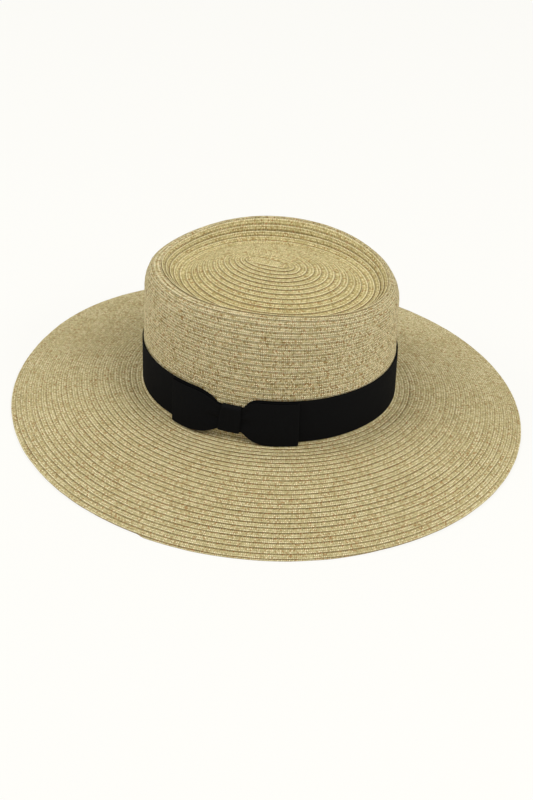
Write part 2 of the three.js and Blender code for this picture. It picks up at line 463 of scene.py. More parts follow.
@dataclass(frozen=True)
class RibbonFinish:
    """Black grosgrain: fine ribs across the ribbon and hardly any shine."""

    name: str = "black_grosgrain"
    rib: float = 0.85  # millimetres from one rib to the next
    warp: float = 0.42  # millimetres across from one warp thread to the next
    patch: float = 9 * MM  # size of the changes of tone
    relief: float = 0.16 * MM
    roughness: float = 0.7
    gloss: float = 0.04
    thread: Colour = (0.0028, 0.0028, 0.0031)
    # the lighter colour that the ribs' crests and random patches take
    lighter_tone: Colour = (0.0066, 0.0066, 0.0068)

    def material(self) -> Material:
        """Builds the material: ribs are a sine along the ribbon, with a finer one across it for the warp.

        Returns:
            The material.
        """
        shader = Shader(self.name)
        along, across = shader.lay()
        ribs = (along * (FULL_TURN / self.rib)).sine() * 0.5 + 0.5
        warp = (across * (FULL_TURN / self.warp)).sine() * 0.5 + 0.5
        grain = shader.cloud(1.0, 2.0, shader.vector(along * 1.6, across * 0.25))
        patch = shader.cloud(self.patch, 2.0)
        height = ribs * 0.75 + warp * 0.1 + grain * 0.15
        colour = shader.mix(ribs * 0.5 + grain * 0.3 + patch * 0.2, self.thread, self.lighter_tone)
        surface = {
            "Base Color": colour,
            "Roughness": self.roughness + patch * 0.2,
            "Specular IOR Level": self.gloss,
        }
        return shader.finish(surface, height, self.relief)


@dataclass(frozen=True)
class FloorFinish:
    """A plain pale floor."""

    name: str = "pale_floor"
    colour: Colour = linear(96, 95, 93)
    glow: Colour = linear(252, 251, 247)
    strength: float = 0.86  # of the glow, which keeps the floor as even as a lit studio sweep
    roughness: float = 0.9
    gloss: float = 0.1

    def material(self) -> Material:
        """Builds the material.

        Returns:
            The material.
        """
        surface = {
            "Base Color": (*self.colour, 1.0),
            "Roughness": self.roughness,
            "Specular IOR Level": self.gloss,
            "Emission Color": (*self.glow, 1.0),
            "Emission Strength": self.strength,
        }
        return Shader(self.name).finish(surface)


# Meshes


def swept_faces(sections: int, points: int, cap: Array | None) -> Array:
    """Numbers the quads between sections that are closed rings of points.

    Args:
        sections: How many sections there are.
        points: Points in a section.
        cap: Quads over an end section, or None if the last section joins the first.

    Returns:
        Four point numbers a quad: section by section, then the caps over the first and the last.
    """
    here = np.arange(sections if cap is None else sections - 1)[:, None]
    point = np.arange(points)[None, :]
    after = (here + 1) % sections
    beside = (point + 1) % points
    corners = [(here, point), (here, beside), (after, beside), (after, point)]
    faces = np.stack([section * points + place for section, place in corners], -1).reshape(-1, 4)
    return faces if cap is None else np.vstack([faces, cap[:, ::-1], (sections - 1) * points + cap])


def swept_lay(length: Array, across: Array, after: Array) -> Array:
    """Finds the lengths along and across at the corners of the quads between sections.

    Args:
        length: Length along at each section, one more than there are rows of quads.
        across: Length across at each point.
        after: Length across at the far side of the quad beside each point.

    Returns:
        The two lengths at four corners a quad.
    """
    across, after = (np.broadcast_to(v, (len(length), v.shape[-1])) for v in (across, after))
    v = np.stack([across[:-1], after[:-1], after[1:], across[1:]], -1)
    u = np.stack([length[:-1], length[:-1], length[1:], length[1:]], -1)[:, None]
    return np.stack([np.broadcast_to(u, v.shape), v], -1).reshape(-1, 2)


def mesh_object(name: str, points: Array, faces: Array, uv: Array, sharp: float = 75.0) -> Object:
    """Makes a smooth-shaded object from arrays.

    Args:
        name: The object's name.
        points: Points, in metres.
        faces: Four point numbers a face.
        uv: Lengths along and across at each face's corners, in metres.
        sharp: Edges that turn by more degrees than this stay sharp.

    Returns:
        The object, linked to the scene.
    """
    mesh = bpy.data.meshes.new(name)
    mesh.vertices.add(len(points))
    mesh.vertices.foreach_set("co", points.astype(np.float32).ravel())
    mesh.loops.add(faces.size)
    mesh.loops.foreach_set("vertex_index", faces.astype(np.int32).ravel())
    mesh.polygons.add(len(faces))
    mesh.polygons.foreach_set("loop_start", np.arange(0, faces.size, 4, dtype=np.int32))
    mesh.update(calc_edges=True)
    layer = mesh.uv_layers.new(name=UV_NAME)
    layer.data.foreach_set("uv", uv.astype(np.float32).ravel())
    mesh.validate()
    mesh.shade_smooth()
    mesh.set_sharp_from_angle(angle=math.radians(sharp))
    piece = bpy.data.objects.new(name, mesh)
    bpy.context.collection.objects.link(piece)
    return piece


def enclosed(points: Array, faces: Array) -> float:
    """The volume inside a closed mesh: negative if its faces point inwards.

    Args:
        points: Points.
        faces: Four point numbers a face.

    Returns:
        The volume, a sixth of the triple products of the corners of each half face.
    """
    a, b, c, d = (points[faces[:, i]] for i in range(4))
    halves = np.einsum("ij,ij->i", a, np.cross(b, c)) + np.einsum("ij,ij->i", a, np.cross(c, d))
    return float(halves.sum() / 6)


def turned_out(points: Array, faces: Array, uv: Array) -> tuple[Array, Array]:
    """Turns the faces of a closed mesh round if they point inwards.

    Args:
        points: Points.
        faces: Four point numbers a face.
        uv: Lengths along and across at each face's corners.

    Returns:
        The faces, pointing outwards, and the lengths at their corners.
    """
    if enclosed(points, faces) < 0:
        return faces[:, ::-1], uv.reshape(-1, 4, 2)[:, ::-1].reshape(-1, 2)
    return faces, uv


def store(piece: Object, name: str, values: Array) -> None:
    """Stores one number a point on a piece.

    Args:
        piece: The piece.
        name: The attribute's name.
        values: The numbers, in the order of the points.
    """
    layer = piece.data.attributes.new(name, "FLOAT", "POINT")
    layer.data.foreach_set("value", values.astype(np.float32).ravel())


def dress(piece: Object, material: Material, slot: Slot, *nodes: str) -> None:
    """Gives a piece its material, hangs it under the body and hides the CAD nodes that it replaces.

    Args:
        piece: The piece.
        material: Its material.
        slot: The record's slot. Not used.
        nodes: CAD nodes that it replaces.
    """
    piece.data.materials.append(material)
    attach(piece, BODY)
    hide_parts(*nodes)
    log.info("%s: %d faces", piece.name, len(piece.data.polygons))


# Straw


@dataclass(frozen=True)
class Oval:
    """One oval round the hat's outer surface, in millimetres and degrees.

    shift moves it behind the crown's middle, pinch narrows its front, end_drop lowers its front and rear
    ends, and turn swings its rear end towards the wearer's left.
    """

    name: str
    half_length: float
    half_width: float
    height: float
    shift: float = 0.0
    pinch: float = 0.0
    end_drop: float = 0.0
    turn: float = 0.0

    def sizes(self) -> list[float]:
        """The lengths in metres, and the pinch and turn as they are."""
        lengths = [self.half_length, self.half_width, self.height, self.shift, self.end_drop]
        return [value * MM for value in lengths] + [self.pinch, math.radians(self.turn)]


CROWN_OVALS = (
    Oval("start", 12.5, 0, 141, -3, turn=8),
    Oval("dome_in", 26.5, 14.8, 140, -2, turn=8),
    Oval("dome", 43, 28.5, 137, 0, 0.03, turn=5),
    Oval("dome_foot", 59, 42, 131.5, 2, 0.06, turn=2),
    Oval("dip", 70.5, 51, 127, 3, 0.1, 1),
    Oval("inner_wall", 78.9, 57.8, 129, 3.2, 0.14, 2.5),
    Oval("inner_rim", 86, 64.3, 136.7, 2.9, 0.2, 5.7),
    Oval("rim", 90.5, 69.2, 141, 2.5, 0.22, 7.4),
    Oval("outer_rim", 94.9, 72.2, 139, 0.7, 0.2, 7.4),
    Oval("wall_top", 98.4, 75, 131.5, 0.5, 0.16, 5.3),
    Oval("wall_middle", 100.5, 80, 100.5, 0, 0.05, 1.5),
    Oval("band_top", 101.2, 82.6, 70),
    Oval("foot", 101.7, 82.8, 31.5),
)

BRIM_OVALS = (
    Oval("tuck", 100.2, 81.3, 36.2),
    Oval("neck", 101.7, 82.8, 31.2),
    Oval("bend", 102.1, 83.2, 30.2),
    Oval("bend_out", 104.6, 85.7, 29.8),
    Oval("inner", 127.5, 107.3, 28.4, -0.4, turn=0.6),
    Oval("middle", 155, 133.6, 22.4, -1, turn=1.5),
    Oval("outer", 183.6, 160.6, 12.8, -1.6, turn=2.4),
    Oval("edge", 209.6, 185.6, 2.2, -2.1, turn=3),
)


@dataclass(frozen=True)
class Dent:
    """A soft bump or hollow in the straw, in degrees and millimetres. A hollow has a negative lift."""

    angle: float
    spread: float
    station: float
    reach: float
    lift: float

    def height(self, angle: Array, station: Array) -> Array:
        """How far it lifts the straw: a bell curve round the oval times one along the profile."""
        aside = ((np.degrees(angle) - self.angle + 180) % 360 - 180) / self.spread
        return self.lift * MM * np.exp(-(aside**2 + ((station / MM - self.station) / self.reach)**2) / 2)


BRIM_DENTS = (
    Dent(-24, 14, 60, 22, 1.4),
    Dent(-30, 12, 21, 10, -1.4),
    Dent(15, 14, 27, 14, 0.8),
    Dent(38, 12, 85, 20, 0.8),
    Dent(5, 14, 75, 20, -0.5),
    Dent(-118, 14, 100, 30, 3.0),
)


class Form:
    """A surface of ovals, smooth from each to the next along the profile."""

    FRONT_SHARPNESS = 4

    def __init__(self, ovals: tuple[Oval, ...]) -> None:
        """Works out the ovals' stations along the profile and the slope of every size there.

        A station is the length of the line through (mean radius, height). An inner slope is that of the
        parabola through an oval and its two neighbours.

        Args:
            ovals: The ovals, in order along the profile.
        """
        self.sizes = np.array([oval.sizes() for oval in ovals])
        run = np.diff(self.sizes[:, :2].mean(axis=1))
        rise = np.diff(self.sizes[:, 2])
        steps = np.hypot(run, rise)
        self.stations = np.concatenate([[0.0], np.cumsum(steps)])
        chords = np.diff(self.sizes, axis=0) / steps[:, None]
        before, after = steps[:-1, None], steps[1:, None]
        inner = (chords[:-1] * after + chords[1:] * before) / (before + after)
        first = 2 * chords[0] - inner[0]
        last = 2 * chords[-1] - inner[-1]
        self.slopes = np.vstack([first, inner, last])

    @property
    def length(self) -> float:
        """Length of the profile, in metres."""
        return float(self.stations[-1])

    def oval_at(self, station: Array) -> Array:
        """The sizes of the ovals at some stations.

        Between two ovals each size is the cubic that has both ovals' own size and slope at its ends.

        Args:
            station: Lengths along the profile.

        Returns:
            The sizes, one more axis than the stations.
        """
        last = len(self.stations) - 2
        i = np.clip(np.searchsorted(self.stations, station, side="right") - 1, 0, last)
        step = self.stations[i + 1] - self.stations[i]
        t = ((station - self.stations[i]) / step)[..., None]
        step = step[..., None]
        here = self.sizes[i] * (1 + 2 * t) * (1 - t) ** 2
        there = self.sizes[i + 1] * t * t * (3 - 2 * t)
        leaving = self.slopes[i] * step * t * (1 - t) ** 2
        arriving = self.slopes[i + 1] * step * t * t * (t - 1)
        return here + there + leaving + arriving

    def points(self, angle: Array, station: Array) -> Array:
        """Points of the surface.

        A point lies at (half width * cos * (1 - pinch * front ^ 4), half length * sin) on its oval,
        turned and shifted, at the oval's height less end drop * sin ^ 2. front is -sin where above 0.

        Args:
            angle: Angle round the oval from the wearer's left towards the rear.
            station: Length along the profile.

        Returns:
            The points.
        """
        angle, station = np.broadcast_arrays(angle, station)
        sizes = np.moveaxis(self.oval_at(station), -1, 0)
        half_length, half_width, height, shift, end_drop, pinch, turn = sizes
        cosine, sine = np.cos(angle), np.sin(angle)
        front = np.maximum(0, -sine)
        across = half_width * cosine * (1 - pinch * front**self.FRONT_SHARPNESS)
        along = half_length * sine
        x = across * np.cos(turn) + along * np.sin(turn)
        y = CROWN_SHIFT + shift + along * np.cos(turn) - across * np.sin(turn)
        return np.stack([x, y, height - end_drop * sine**2], -1)

    def normals(self, angle: Array, station: Array) -> Array:
        """Outward unit normals: the cross product of the surface's slopes along and around.

        The slopes are read a small step and swing to each side, and no nearer the start than 2 mm.

        Args:
            angle: Angle round the oval.
            station: Length along the profile.

        Returns:
            The normals.
        """
        step, swing, nearest = 0.2 * MM, 0.01, 2 * MM
        station = np.maximum(station, nearest)
        along = self.points(angle, station + step) - self.points(angle, station - step)
        around = self.points(angle + swing, station) - self.points(angle - swing, station)
        return unit(np.cross(along, around))


@dataclass
class Strip:
    """Arrays of one closed strip of straw. bare is how much of the row shows at each point, as the painted
    shade beside the row above reads it.
    """

    points: Array
    faces: Array
    uv: Array
    bare: Array


@dataclass
class Braid:
    """One long flat plait, laid in a spiral over a form and sewn with each turn tucked under the last.

    The turns' outer edges lie on the form. A section is a flat lens tilted by one thickness for each row
    that shows. Angles are in degrees from the wearer's left towards the rear, lengths in metres.
    """

    form: Form
    thickness: float
    width: float
    pitch: float  # what a row shows at the start
    spread: float  # how much more each turn shows than the one before
    start_angle: float
    start_edge: float  # station of the outer edge at the start
    spacing: float  # between sections
    seed: int
    crowded: float = 0.35  # share of that spacing at the start, where turns are small
    extra: float = 1.0  # turns beyond the one that reaches the form's end
    emerges: bool = False  # the first turn comes out from under a piece that ends at start_edge
    settles: float = 0.0  # over how many last turns the spiral settles into closed rings
    peek: float = 0.0  # how far the last ply stands out past the edge
    peek_from: float = 0.0  # turns after the edge is reached
    peek_to: float = 0.0
    sag: float = 0.0  # how far the outermost rows drop below the form
    sag_rows: float = 2.5
    dents: tuple[Dent, ...] = ()
    shade_width: float = 0.0  # how much further than usual the shade reaches over a tucked row
    drawn: float = 0.5 * MM  # how much less the painted shade beside the row above reaches round the ends of the oval
    camber: float = 0.14 * MM
    tuck_in: float = 0.05 * MM  # air between a row and the row under it

    # Length and swing of the waves along the braid: two of its outer edge, then one of its height.
    WAVES = ((9 * MM, 0.1 * MM), (31 * MM, 0.14 * MM), (7 * MM, 0.06 * MM))
    FINE_STEPS = 720  # a turn, to measure the spiral by
    SMALL_TURNS = 5  # from the start, over which the sections reach their full spacing
    RING_STEP = (0.44, 0.56)  # share of a turn over which a closed ring steps out to the next
    PEEK_RISE = 0.006  # turns over which the last ply comes out
    PEEK_FADE = 0.07  # turns over which it goes back
    LEAST_SHOWN = 0.05 * MM

    # Places across the braid from its outer edge, as shares of the width, and heights as shares of the
    # thickness below the top line and of the camber above it, on the way round a section.
    SECTION = np.array([
        (0, 0.035, 0.14, 0.5, 1, 1, 0.5, 0.005),
        (0.4, 0.1, 0, 0, 0.1, 0.95, 1, 1),
        (0, 0, 0.5, 1, 0, 0, 0, 0),
    ])
    UNDER = 5  # the first of those places on the underside
    EDGE_ROUND = 0.6 * MM  # length round the outer edge, half of it above the first place

    @cached_property
    def reached(self) -> float:
        """Turns until the outer edge reaches the form's end.

        Returns:
            The root of the growth's formula.
        """
        missing = self.form.length - self.start_edge
        if self.spread == 0:
            return missing / self.pitch
        return (math.sqrt(self.pitch**2 + 2 * self.spread * missing) - self.pitch) / self.spread

    @property
    def turns(self) -> float:
        """All the turns."""
        return self.reached + self.extra

    def edge_at(self, turn: Array) -> Array:
        """Station of the outer edge after some turns: it grows by a pitch that widens slowly.

        Over the last turns that settle, the growth of each turn is drawn together into its middle, so
        that the rows become closed rings.

        Args:
            turn: Turns from the start.

        Returns:
            The stations.
        """
        grown = self.start_edge + self.pitch * turn + self.spread * turn**2 / 2
        if self.settles:
            left = turn - self.reached
            whole = np.floor(left)
            part = left - whole
            settled = ease(turn, self.reached - self.settles, self.reached)
            stepped = part + settled * (ease(part, *self.RING_STEP) - part)
            grown = self.form.length + self.pitch * (whole + stepped)
        return np.minimum(grown, self.form.length)

    def peek_at(self, turn: Array) -> Array:
        """How far the last ply stands out: it starts at once and fades away, as shares of a turn."""
        past, start, end = turn - self.reached, self.peek_from, self.peek_to
        return self.peek * ease(past, start, start + self.PEEK_RISE) * ease(past, end, end - self.PEEK_FADE)

    def exposure_at(self, turn: Array) -> Array:
        """How much of the row shows: its edge less the edge of the turn inside it.

        Args:
            turn: Turns from the start.

        Returns:
            The widths that show, never quite nothing.
        """
        inside = self.start_edge if self.emerges else self.edge_at(turn) - self.pitch
        before = np.where(turn < 1, inside, self.edge_at(turn - 1))
        return np.maximum(self.edge_at(turn) - before + self.peek_at(turn), self.LEAST_SHOWN)

    def layout(self) -> tuple[Array, Array, Array]:
        """Places the sections an equal length apart, closer in the first small turns.

        Returns:
            The turn, the angle and the length along the braid of each section.
        """
        fine = np.linspace(0, self.turns, int(self.turns * self.FINE_STEPS))
        angle = math.radians(self.start_angle) + FULL_TURN * fine
        length = travelled(self.form.points(angle, self.edge_at(fine)))
        gap = self.spacing * (self.crowded + (1 - self.crowded) * ease(fine, 0, self.SMALL_TURNS))
        count = np.concatenate([[0.0], np.cumsum(np.diff(length) / gap[1:])])
        wanted = np.linspace(0, count[-1], int(count[-1]))
        turn = np.interp(wanted, count, fine)
        return turn, math.radians(self.start_angle) + FULL_TURN * turn, np.interp(turn, fine, length)

    def strip(self) -> Strip:
        """Lays the braid as one closed strip.

        A section's point lies at form(angle, edge - across) + normal * height, where height is the tilted
        top line, the camber and the section's own depth, with a small seeded waviness.

        Returns:
            The strip.
        """
        turn, angle, length = self.layout()
        exposure = self.exposure_at(turn)
        fine, broad, lift = (wander(length, *wave, self.seed + i) for i, wave in enumerate(self.WAVES))
        edge = self.edge_at(turn) + self.peek_at(turn)
        width = np.minimum(self.width, edge)
        share, depth, crowned = self.SECTION
        across = width[:, None] * share
        station = np.clip((edge + (fine + broad))[:, None] - across, 0, None)
        shows = self.pitch + self.spread * turn
        tilt = self.thickness + self.tuck_in
        sunk = tilt * (1 - np.minimum(exposure / shows, 1))
        height = -sunk[:, None] - tilt * across / shows[:, None]
        height = height - self.thickness * depth + self.camber * crowned + lift[:, None]
        around = np.broadcast_to(angle[:, None], station.shape)
        height = height + sum(dent.height(around, station) for dent in self.dents)
        inner = self.form.length - self.sag_rows * self.pitch
        height = height - self.sag * ease(station, inner, self.form.length)
        normal = self.form.normals(around, np.minimum(station, self.form.length))
        points = self.form.points(around, station) + normal * height[..., None]
        # bare sets how far the painted shade beside the row above reaches: shade_width further, and drawn
        # less round the oval's ends.
        bare = exposure - self.shade_width + self.drawn * np.sin(angle) ** 4
        return self.close(points, length, across, bare)

    def close(self, points: Array, length: Array, across: Array, bare: Array) -> Strip:
        """Joins the sections into a closed strip with caps.

        The length across goes on round the section, from above the outer edge to below it.

        Args:
            points: The sections' points.
            length: Length along the braid at each section.
            across: Distance from the outer edge of every point.
            bare: How much of the row shows at each section.

        Returns:
            The strip.
        """
        sections, count = points.shape[:2]
        girth = across.copy()
        girth[:, 0] = -self.EDGE_ROUND / 2
        girth[:, self.UNDER:] = 2 * self.width + self.thickness - across[:, self.UNDER:]
        after = np.concatenate([girth[:, 1:], girth[:, -1:] + self.EDGE_ROUND], axis=1)
        cap = np.array([[0, 1, 6, 7], [1, 2, 5, 6], [2, 3, 4, 5]])
        # A cap shows hardly at all, so its faces only get some small lengths across.
        cap_uv = np.stack([np.zeros(8 * len(cap)), np.tile([0, 1, 2, 3], 2 * len(cap)) * MM], -1)
        uv = np.vstack([swept_lay(length, girth, after), cap_uv])
        points = points.reshape(-1, 3)
        faces, uv = turned_out(points, swept_faces(sections, count, cap), uv)
        return Strip(points, faces, uv, np.repeat(bare, count))


@dataclass
class Core:
    """The short straight braid in the middle of the tip, which the first turn comes out from under."""

    form: Form
    reach: float  # from the ridge to its edge
    thickness: float
    proud: float = 0.12 * MM  # how far it stands above the form
    sections: int = 44
    bare: float = 9.0 * MM  # nothing covers it

    # Places across as shares of the reach, and depths as shares of the thickness, round a section.
    SECTION = np.array([
        (-1, -0.93, -0.6, 0, 0.6, 0.93, 1, 0.93, 0, -0.93),
        (0.5, 0.1, 0, 0.15, 0, 0.1, 0.5, 0.95, 1, 0.95),
    ])

    def strip(self) -> Strip:
        """Lays the piece along the ridge with its ends rounded.

        Half its width is reach * (1 - along ^ 6) ^ (1 / 3), with along from -1 to 1, and its height is
        that of the form's ovals as far from the ridge.

        Returns:
            The strip.
        """
        half_length, _, _, shift, _, _, turn = self.form.oval_at(np.array(0.0))
        place = np.sin(np.linspace(-math.pi / 2, math.pi / 2, self.sections))[:, None]
        along = (half_length + self.reach) * place
        half = self.reach * np.maximum(1 - place**6, 0.02) ** (1 / 3)
        share, depth = self.SECTION
        across = half * share
        from_ridge = np.hypot(across, np.maximum(np.abs(along) - half_length, 0))
        height = self.form.oval_at(from_ridge)[..., 2] - self.thickness * depth + self.proud
        x = across * math.cos(turn) + along * math.sin(turn)
        y = CROWN_SHIFT + shift + along * math.cos(turn) - across * math.sin(turn)
        points = np.stack([x, y, height], -1).reshape(-1, 3)
        cap = np.array([[0, 1, 8, 9], [1, 2, 7, 8], [2, 3, 6, 7], [3, 4, 5, 6]])
        faces = swept_faces(self.sections, len(share), cap)
        in_from_edge = self.reach - np.abs(across)
        lay = np.stack([along + 0 * across, in_from_edge + 0 * along], -1).reshape(-1, 2)
        faces, uv = turned_out(points, faces, lay[faces].reshape(-1, 2))
        return Strip(points, faces, uv, np.full(len(points), self.bare))


@dataclass
class StrawPiece:
    """The crown or the brim: strips of braid joined into one mesh."""

    name: str
    node: str
    strips: tuple[Braid | Core, ...]

    def make(self, material: Material) -> None:
        """Lays every strip, joins their arrays and dresses the piece.

        Args:
            material: The straw's material.
        """
        parts = [strip.strip() for strip in self.strips]
        starts = np.cumsum([0] + [len(part.points) for part in parts])
        faces = np.vstack([part.faces + start for part, start in zip(parts, starts)])
        points, uv, bare = (np.concatenate([getattr(part, name) for part in parts])
                            for name in ("points", "uv", "bare"))
        piece = mesh_object(self.name, points, faces, uv)
        store(piece, "bare", bare)
        dress(piece, material, Slot.STRAW, self.node)


CROWN_FORM = Form(CROWN_OVALS)

# One braid from the middle of the tip down to the brim, and the core that it starts at.
STRAW_CROWN = StrawPiece("straw_crown", "crown", (
    Braid(
        form=CROWN_FORM, thickness=0.74 * MM, width=5.6 * MM, pitch=4.45 * MM, spread=0.017 * MM,
        start_angle=10, start_edge=3.2 * MM, spacing=1.62 * MM, seed=11,
        emerges=True, shade_width=0.4 * MM,
    ),
    Core(CROWN_FORM, reach=3.3 * MM, thickness=0.74 * MM),
))

# One braid from behind the crown's last row out to the edge, where it doubles.
STRAW_BRIM = StrawPiece("straw_brim", "brim", (
    Braid(
        form=Form(BRIM_OVALS), thickness=0.78 * MM, width=5.6 * MM, pitch=4.26 * MM, spread=0.0,
        start_angle=134.4, start_edge=6.2 * MM, spacing=2.24 * MM, seed=23, extra=1.44, settles=6.0,
        peek=1.5 * MM, peek_from=0.877, peek_to=1.04, sag=0.55 * MM, dents=BRIM_DENTS,
    ),
))


# Ribbon


class CrownFoot:
    """The ellipse that the band follows. A place on it is an arc length from the wearer's left."""

    HALF_LENGTH = CROWN_OVALS[-1].half_length * MM
    HALF_WIDTH = CROWN_OVALS[-1].half_width * MM
    BOTTOM = CROWN_OVALS[-1].height * MM
    LEAN = 0.009  # how far the crown leans in for each unit of height
    STEPS = 7200

    def __init__(self) -> None:
        """Measures the ellipse finely."""
        self.angle = np.linspace(0, FULL_TURN, self.STEPS + 1)
        self.arc = travelled(self.curve(self.angle))

    @property
    def girth(self) -> float:
        """Length round the ellipse."""
        return float(self.arc[-1])

    def curve(self, angle: Array) -> Array:
        """Points of the ellipse at some angles: (half width * cos, half length * sin)."""
        return np.stack([self.HALF_WIDTH * np.cos(angle), self.HALF_LENGTH * np.sin(angle)], -1)

    def place(self, arc: Array, offset: Array, height: Array) -> Array:
        """Points off the ellipse: its own point, out along its normal by the offset less the lean.

        Args:
            arc: Length along the ellipse.
            offset: Distance out from the crown.
            height: Height.

        Returns:
            The points.
        """
        arc, offset, height = np.broadcast_arrays(arc, offset, height)
        angle = np.interp(arc % self.girth, self.arc, self.angle)
        normal = unit(np.stack([self.HALF_LENGTH * np.cos(angle), self.HALF_WIDTH * np.sin(angle)], -1))
        out = offset - self.LEAN * (height - self.BOTTOM)
        x, y = np.moveaxis(self.curve(angle) + normal * out[..., None], -1, 0)
        return np.stack([x, y + CROWN_SHIFT, height], -1)


@dataclass(frozen=True)
class Knot:
    """Where the bow's knot is on the band, and how the ribbon draws in to it."""

    arc: float = -14 * MM
    half_length: float = 8.25 * MM
    middle: float = 49.9 * MM
    half_height: float = 12.5 * MM
    lean: float = 1.2 * MM  # its top is this far behind its middle, and its foot this far in front
    proud: float = 4.8 * MM
    gathered: float = 10.9 * MM  # half the ribbon's height inside it
    beside: float = 0.3 * MM  # how far past its sides the ribbon stays so

    # Lengths over which the ribbon's lower and upper edges draw in, in front of the knot and behind it.
    FRONT = (36 * MM, 26 * MM)
    REAR = (24 * MM, 15 * MM)

    def distance(self, arc: Array) -> Array:
        """How far a place along the band is from the stretch that the leaning knot covers."""
        return np.maximum(np.abs(arc - self.arc) - self.half_length - self.lean - self.beside, 0)

    def edges(self, arc: Array, bottom: float, top: float) -> tuple[Array, Array]:
        """Heights of the ribbon's edges: they near the gathered ones as the cube of what is left to go.

        Args:
            arc: Places along the band.
            bottom: Height of the lower edge away from the knot.
            top: Height of the upper edge away from the knot.

        Returns:
            The lower and the upper heights.
        """
        ahead = arc < self.arc
        lengths = (np.where(ahead, front, rear) for front, rear in zip(self.FRONT, self.REAR))
        below, above = (np.clip(1 - self.distance(arc) / length, 0, 1) ** 3 for length in lengths)
        lower = bottom + (self.middle - self.gathered - bottom) * below
        upper = top + (self.middle + self.gathered - top) * above
        return lower, upper


@dataclass
class Ribbon(ABC):
    """A length of ribbon on the crown. Each kind gives its own surface."""

    foot: CrownFoot
    knot: Knot
    name: str = "ribbon"
    node: str = ""
    held: Held = Held.FOLDED
    rests_on: tuple[str, ...] = ()
    closed: bool = False
    thickness: float = 0.65 * MM
    width: float = 39 * MM
    bottom: float = 31.2 * MM
    sharp: float = 55.0  # edges that turn by more degrees than this stay sharp
    across_points: int = 9

    @abstractmethod
    def surface(self) -> Array:
        """The ribbon's middle surface, on a grid along and across it."""

    @abstractmethod
    def flat(self) -> tuple[float, float]:
        """Its width and length when flat."""

    def sheet(self) -> tuple[Array, Array, Array]:
        """Gives the surface its thickness and closes it.

        Each side is the surface moved half the thickness along its unit normal, the cross product of the
        grid's slopes. A section is the outer side's points and then the inner side's, backwards.

        Returns:
            The points, the faces, and the lengths along and across at each face's corners.
        """
        middle = self.surface()
        rows, columns = middle.shape[:2]
        ringed = np.concatenate([middle[-1:], middle, middle[:1]]) if self.closed else middle
        along = np.gradient(ringed, axis=0)
        along = along[1:-1] if self.closed else along
        normal = unit(np.cross(along, np.gradient(middle, axis=1)))
        outer = middle + normal * self.thickness / 2
        inner = middle - normal * self.thickness / 2
        points = np.concatenate([outer, inner[:, ::-1]], axis=1).reshape(-1, 3)
        centre = middle[:, columns // 2]
        length = travelled(np.vstack([centre, centre[:1]]))
        width = self.flat()[0]
        across = np.linspace(0, width, columns)
        across = np.concatenate([across, across[::-1] + width])
        after = np.roll(across, -1)
        if self.closed:
            return points, swept_faces(rows, 2 * columns, None), swept_lay(length, across, after)
        start = np.arange(columns - 1)
        cap = np.stack([start, start + 1, 2 * columns - 2 - start, 2 * columns - 1 - start], -1)
        cap_uv = np.stack([np.zeros(cap.shape), across[cap]], -1)
        ends = (cap_uv[:, ::-1].reshape(-1, 2), cap_uv.reshape(-1, 2))
        uv = np.vstack([swept_lay(length[:-1], across, after), *ends])
        return points, swept_faces(rows, 2 * columns, cap), uv

    def make(self, material: Material) -> None:
        """Builds the ribbon as a thin closed sheet and dresses it.

        Args:
            material: The ribbon's material.
        """
        width, length = self.flat()
        points, faces, uv = self.sheet()
        piece = mesh_object(self.name, points, *turned_out(points, faces, uv), self.sharp)
        dress(piece, material, Slot.RIBBON, self.node)


@dataclass
class HatBand(Ribbon):
    """One turn of ribbon round the crown, drawn in behind the knot."""

    name: str = "ribbon_band"
    node: str = "hat_band"
    held: Held = Held.STRETCHED
    rests_on: tuple[str, ...] = ("straw_crown",)
    closed: bool = True
    offset: float = 0.75 * MM
    ripple: float = 0.12 * MM
    long_wave: float = 19 * MM  # lengths along it for each radian of the ripple
    short_wave: float = 8.3 * MM
    dip: float = 2.5 * MM  # how far the upper edge sinks round the hat's front
    dip_arc: float = -145 * MM
    dip_length: float = 25 * MM
    pleats: float = 2.5  # across it, beside the knot
    pleat_depth: float = 0.25 * MM
    pleat_reach: float = 16 * MM  # how far from the knot the pleats run
    round_points: int = 360

    def flat(self) -> tuple[float, float]:
        """Its width and its length once round the crown."""
        return self.width, self.foot.girth + FULL_TURN * self.offset

    def surface(self) -> Array:
        """The band: straight up between its edges, with a shallow ripple of two sines along it.

        The upper edge dips as a bell curve. Beside the knot, pleats as a cosine across the band take the
        ripple's place.

        Returns:
            Its points.
        """
        girth = self.foot.girth
        arc = np.linspace(0, girth, self.round_points, endpoint=False)[:, None] - girth / 2
        share = np.linspace(0, 1, self.across_points)[None, :]
        lower, upper = self.knot.edges(arc, self.bottom, self.bottom + self.width)
        upper = upper - self.dip * np.exp(-(((arc - self.dip_arc) / self.dip_length) ** 2))
        height = lower + (upper - lower) * share
        waves = np.sin(arc / self.long_wave) + 0.6 * np.sin(arc / self.short_wave + 2 * share)
        near = 1 - ease(self.knot.distance(arc), 0, self.pleat_reach)
        pleat = near * np.cos(FULL_TURN * self.pleats * share) * self.pleat_depth
        return self.foot.place(arc, self.offset + self.ripple * waves * (1 - near) + pleat, height)


